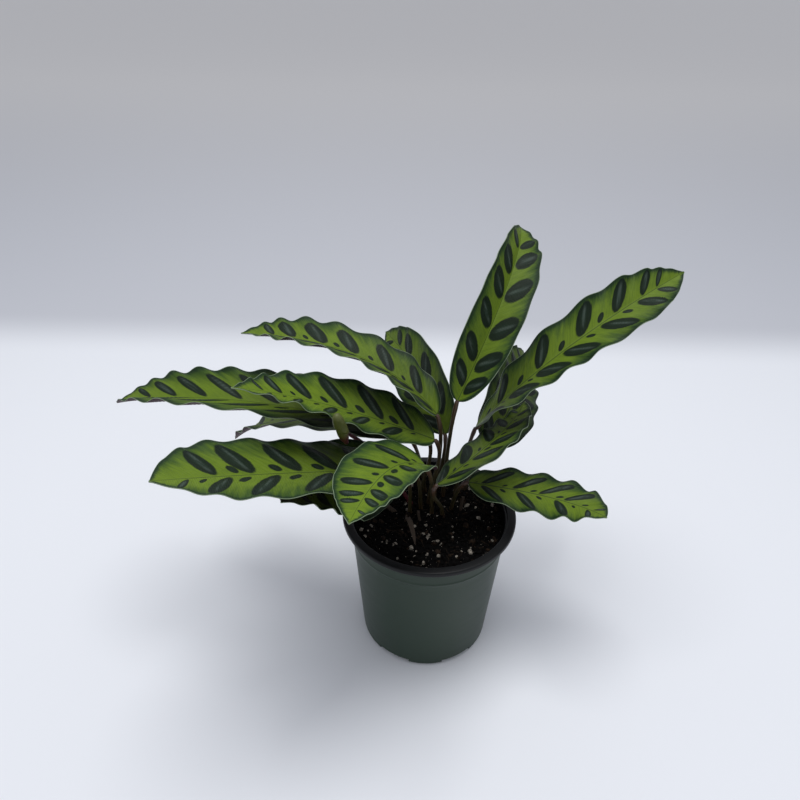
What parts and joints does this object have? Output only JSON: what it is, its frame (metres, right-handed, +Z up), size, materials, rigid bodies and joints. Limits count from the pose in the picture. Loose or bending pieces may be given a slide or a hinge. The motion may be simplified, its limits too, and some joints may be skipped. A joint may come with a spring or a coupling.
{
  "type": "rattlesnake plant in pot",
  "caption": "Potted rattlesnake plant: long wavy patterned leaves on thin stalks spread from a clump in dark soil, in a round tapered nursery pot that stands on its base",
  "frame": {"origin": "centre of the pot's base, on the surface that it stands on", "axes": "+Z up along the pot's axis, +X along the plant's widest spread to its right, +Y to the back, away from the side that faces the viewer"},
  "size_m": [0.3416, 0.2333, 0.2596],
  "materials": {
    "pot": "thin moulded dark green plastic with a black rolled lip, matte with a soft sheen",
    "soil": "moist near-black peat with fibres, bark and scattered white perlite grains",
    "leaf": "yellow-green blade with dark green ovals along the side veins, dark margin, soft sheen, maroon underside",
    "stalk": "smooth brown-green stalk, reddish where it meets the blade",
    "young_leaf": "rolled young leaf, olive green above and maroon at its base",
    "dry": "dry papery brown remains of older stalks"
  },
  "bodies": {
    "root": {"pot": "pot", "soil": "soil", "leaf_tall": "leaf", "stalk_tall": "stalk", "leaf_right_long": "leaf", "stalk_right_long": "stalk", "leaf_right_middle": "leaf", "stalk_right_middle": "stalk", "leaf_right_back": "leaf", "stalk_right_back": "stalk", "leaf_right_low": "leaf", "stalk_right_low": "stalk", "leaf_front": "leaf", "stalk_front": "stalk", "leaf_left_low": "leaf", "stalk_left_low": "stalk", "leaf_left_under": "leaf", "stalk_left_under": "stalk", "leaf_left_middle": "leaf", "stalk_left_middle": "stalk", "leaf_left_long": "leaf", "stalk_left_long": "stalk", "leaf_left_high": "leaf", "stalk_left_high": "stalk", "leaf_back": "leaf", "stalk_back": "stalk", "leaf_left_back": "leaf", "stalk_left_back": "stalk", "leaf_furled": "young_leaf", "stub_cut": "dry", "stub_pale_left": "dry", "stub_pale_right": "dry", "sheath_dry": "dry"}
  },
  "joints": []
}
